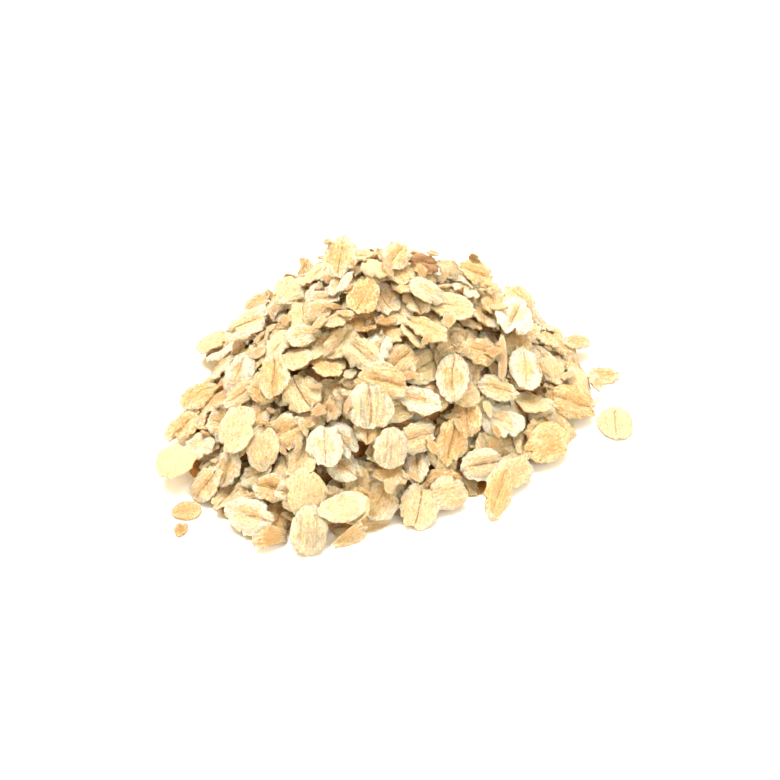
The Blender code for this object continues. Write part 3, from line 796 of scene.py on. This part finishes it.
broken_shapes = []
for number in range(SHAPES):
    key = 1.0 + 0.47 * number
    blank = flake_blank("broken", BROKEN_CELLS, BROKEN_CELLS)
    turn = SNAP_TURN * math.sin(4.4 * key)
    cut_blank(blank, (0, SNAP_LINE), (math.sin(turn), math.cos(turn)))
    shape_blank(blank, key + 40, BROKEN_RAGGED, number % 2, chipped)
    broken_shapes.append(give_thickness(blank, BROKEN_EDGE))
broken_laid = [f for f in flakes if f["kind"] == "broken"]
broken = join_flakes(
    "oat_flakes_broken", broken_laid, broken_shapes, broken_shapes, draw, BROKEN_UNEVENNESS
)
broken.data.materials.append(oat_finish("broken_oat", 0.0, 0.9, 0.8))
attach(broken, "root")
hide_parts("oat_heap")

# Slivers
# Splinters off the long sides of the flakes: narrow, thin and pointed, often caught on edge
# between the others.
SLIVER_CELLS = (16, 4)
SLIVER_EDGE = 0.4
SLIVER_RAGGED = 0.25
SLIVER_BOW = 0.35
SLIVER_LUMPS = 0.14


def splintered(s, t, rim, key):
    """Bowed along its length, and a little lumpy."""
    return SLIVER_BOW * s * s * math.sin(key) + SLIVER_LUMPS * lump(s, t, key, 0.4)


sliver_shapes = []
for number in range(SHAPES):
    blank = flake_blank("sliver", *SLIVER_CELLS)
    shape_blank(blank, 1.0 + 0.77 * number, SLIVER_RAGGED, 0, splintered)
    sliver_shapes.append(give_thickness(blank, SLIVER_EDGE))
sliver_laid = [f for f in flakes if f["kind"] == "sliver"]
slivers = join_flakes("oat_slivers", sliver_laid, sliver_shapes, sliver_shapes, draw, 0.0)
slivers.data.materials.append(oat_finish("sliver_oat", 0.0, 0.6, 0.5))
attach(slivers, "root")
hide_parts("oat_heap")

# The inside of the heap
# Flakes packed below the ones in sight. Only their edges show, deep in the gaps, so they are one
# bumpy mass that follows the flakes above it, coloured dark brown as painted shade.
CORE_SINK = 0.0006
CORE_REACH = 0.0020
CORE_STEEPEST = 1.0
CORE_EASING = 24
CORE_INSET = 0.0080
CORE_RINGS = 60
CORE_SPOKES = 180
CORE_LOWEST = 0.0006
DEEP_PAINTED_SHADE = (0.30, 0.12, 0.02, 1.0)
PACKED_PAINTED_SHADE = (0.66, 0.34, 0.10, 1.0)


def core_surface(ground):
    """The height of the core on the ground's grid: it stays under everything that was laid."""
    low = ground.height.copy()
    for _ in range(int(CORE_REACH / CELL)):
        sideways = [np.roll(low, shift, axis) for axis in (0, 1) for shift in (-1, 1)]
        low = np.minimum.reduce([low, *sideways])
    # No wall of it is left standing: it slopes off from each low place
    for _ in range(CORE_EASING):
        sideways = [np.roll(low, shift, axis) for axis in (0, 1) for shift in (-1, 1)]
        low = np.minimum.reduce([low, *(side + CORE_STEEPEST * CELL for side in sideways)])
    return low - CORE_SINK


def height_at(heights, x, y):
    return heights[int((y + REACH) / CELL), int((x + REACH) / CELL)]


def core_edge(ground, heading):
    """How far out from the summit the core goes: just short of the outermost flake there."""
    edge = foot_radius(heading) + FLAKE_LENGTH
    toward = (math.cos(heading), math.sin(heading))
    while height_at(ground.height, SUMMIT[0] + edge * toward[0], SUMMIT[1] + edge * toward[1]) <= 0:
        edge -= CELL
    return edge - CORE_INSET


core_heights = core_surface(ground)
bpy.ops.object.select_all(action="DESELECT")
bpy.ops.mesh.primitive_circle_add(vertices=CORE_SPOKES, radius=1.0, fill_type="TRIFAN")
core = bpy.context.object
core.name = "heap_core"
mesh = bmesh.new()
mesh.from_mesh(core.data)
centre = min(mesh.verts, key=lambda v: v.co.length)
spokes = [e for e in mesh.edges if centre in e.verts]
bmesh.ops.subdivide_edges(mesh, edges=spokes, cuts=CORE_RINGS - 1)
for v in mesh.verts:
    heading = math.atan2(v.co.y, v.co.x)
    out = core_edge(ground, heading) * v.co.length
    x, y = SUMMIT[0] + out * math.cos(heading), SUMMIT[1] + out * math.sin(heading)
    inner = v.co.length < 0.99
    v.co = (x, y, max(height_at(core_heights, x, y), CORE_LOWEST) if inner else FLOOR_GAP / 2)
rim = [e for e in mesh.edges if e.is_boundary]
bmesh.ops.edgeloop_fill(mesh, edges=rim)
bmesh.ops.recalc_face_normals(mesh, faces=mesh.faces[:])
mesh.to_mesh(core.data)
mesh.free()
bpy.ops.object.shade_smooth_by_angle(angle=SHARP_EDGE)

mass = Recipe("packed_oats_painted_shade")
where = mass.tree.nodes.new("ShaderNodeTexCoord").outputs["Object"]
mottled = mass.grain(where, 420.0, 4.0, 0.6)
# Painted shade: the mass is mottled between two browns that stand for shaded oats in the gaps
shade = mass.blend(mass.ramp(mottled, 0.3, 0.7), DEEP_PAINTED_SHADE, PACKED_PAINTED_SHADE)
mass.feed(mass.shader.inputs["Base Color"], shade)
mass.feed(mass.shader.inputs["Normal"], mass.bump(mottled, 0.8, 0.0008))
mass.shader.inputs["Roughness"].default_value = 0.75
core.data.materials.append(mass.material)
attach(core, "root")
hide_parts("oat_heap")

# Buried flakes
# The next layer down, seen edge-on or in part through the gaps in the top one. They lie askew
# to the slope, and some stick out between the flakes above.
BURIED_FLAKES = 400
BURIED_DEPTH = (0.0013, 0.0040)
BURIED_LEAN = 0.45
BURIED_UNEVENNESS = 0.0001
# They keep this share of the way to the heap's edge
BURIED_REACH = 0.93
# Painted shade: buried flakes get a golder, less floury tone of their own, for the shade deep in
# the gaps
FINISHES["buried"] = (0.60, 0.35, 0.40, 0.0, 0.0)


def form_slope(x, y, sink):
    """Slope of the heap's form, over half a cell each way."""
    step = CELL / 2
    across = heap_form(x + step, y, sink)[0] - heap_form(x - step, y, sink)[0]
    deep = heap_form(x, y + step, sink)[0] - heap_form(x, y - step, sink)[0]
    return np.array([across, deep]) / CELL


gaps = np.argwhere((ground.top < 0) & (ground.share < BURIED_REACH))
buried_laid = []
for row, column in gaps[draw.integers(len(gaps), size=BURIED_FLAKES)]:
    flake = random_flake(draw, list(KINDS))
    x, y = ground.x[row, column], ground.y[row, column]
    sink = draw.uniform(*BURIED_DEPTH)
    height = heap_form(x, y, sink, sink)[0]
    if height < FLAKE_THICKNESS:
        continue
    slope = form_slope(x, y, sink) + draw.normal(0, BURIED_LEAN, 2)
    flake.update(axes=flake_axes(slope, flake["heading"]), centre=np.array([x, y, height]))
    flake.update(in_sight=0.0, finish="buried")
    buried_laid.append(flake)
buried = join_flakes(
    "buried_flakes", buried_laid, smooth_plain, smooth_plain, draw, BURIED_UNEVENNESS
)
buried.data.materials.append(oat_finish("buried_oat", 0.0, 0.4, 0.8))
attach(buried, "root")
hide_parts("oat_heap")

# Crumbs
# Chips and floury bits that come off in the bag and end up on and between the flakes. Most are
# two to four millimetres long.
CRUMBS = 190
CRUMB_CELLS = 5
CRUMB_LENGTHS = (0.0014, 0.0046)
CRUMB_WIDTHS = (0.35, 0.85)
CRUMB_EDGE = 0.5
CRUMB_RAGGED = 0.5
CRUMB_LUMPS = 0.15
CRUMB_PLACES = 6
CRUMB_REACH = 0.92


def chip(s, t, rim, key):
    return CRUMB_LUMPS * lump(s, t, key, 0.6)


crumb_shapes = []
for number in range(SHAPES):
    blank = flake_blank("crumb", CRUMB_CELLS, CRUMB_CELLS)
    shape_blank(blank, 1.0 + 0.59 * number, CRUMB_RAGGED, 0, chip)
    crumb_shapes.append(give_thickness(blank, CRUMB_EDGE))
crumbs_laid = []
inside = np.argwhere(ground.share < CRUMB_REACH)
for passed in inside[draw.integers(len(inside), size=(CRUMBS, CRUMB_PLACES))]:
    crumb = random_flake(draw, list(KINDS))
    length = draw.uniform(*CRUMB_LENGTHS)
    crumb.update(length=length, width=length * draw.uniform(*CRUMB_WIDTHS), bow=0.0)
    # A crumb ends up in the deepest of the hollows that it comes past
    rows, columns = passed[:, 0], passed[:, 1]
    lowest = int((ground.height[rows, columns] - ground.target[rows, columns]).argmin())
    where = (rows[lowest], columns[lowest])
    rest = rest_flake(ground, crumb, (ground.x[where], ground.y[where]))
    crumb.update(axes=rest["axes"], centre=rest["centre"], in_sight=0.0)
    crumbs_laid.append(crumb)
crumbs = join_flakes("oat_crumbs", crumbs_laid, crumb_shapes, crumb_shapes, draw, 0.0)
crumbs.data.materials.append(oat_finish("crumb_oat", 0.0, 0.8, 0.8))
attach(crumbs, "root")
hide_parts("oat_heap")

# Stray flakes
# Four bits that rolled off and lie by themselves: a whole pale flake to the right, a small
# toasted one with a crumb of it to the left, and a small one curled like a kidney behind.
STRAY_RAGGED = 0.06
STRAY_UNEVENNESS = 0.0001
KIDNEY_WIDTH = 0.8
KIDNEY_CURL = 1.0
# Each stray: name, place, heading in degrees, length, width, finish, relief and how clear its
# crease is
STRAY_FLAKES = (
    ("stray_flake_right", (0.0539, -0.0130), 84, 0.0112, 0.0090, "pale", domed, 0.9),
    ("stray_flake_left", (-0.0460, -0.0432), 20, 0.0066, 0.0060, "orange", domed, 0.4),
    ("stray_crumb_left", (-0.0468, -0.0494), 70, 0.0040, 0.0028, "orange", chipped, 0.0),
    ("stray_crumb_back", (-0.0231, 0.0512), 95, 0.0066, 0.0042, "golden", furrowed, 0.5),
)
for number, stray_flake in enumerate(STRAY_FLAKES):
    name, place, heading, length, width, finish, relief, crease = stray_flake
    flake = {
        "length": length,
        "width": width,
        "bow": 0.0,
        "finish": finish,
        "in_sight": 1.0,
        "axes": flake_axes(np.zeros(2), math.radians(heading)),
        "centre": np.array([*place, FLAKE_THICKNESS / 2 + FLOOR_GAP]),
    }
    blank = flake_blank(name, FINE_CELLS, FINE_CELLS)
    shape_blank(blank, 7.3 + number, STRAY_RAGGED, 0, relief)
    if name == "stray_crumb_back":
        for v in blank.data.vertices:
            v.co.y = KIDNEY_WIDTH * v.co.y + KIDNEY_CURL * (v.co.x**2 - 0.5)
    shape = [give_thickness(blank, THIN_EDGE)]
    stray = join_flakes(name + "_flake", [flake], shape, shape, draw, STRAY_UNEVENNESS)
    stray.data.materials.append(oat_finish(name + "_oat", crease, 0.8, 0.7))
    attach(stray, "root")
    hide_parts(name)
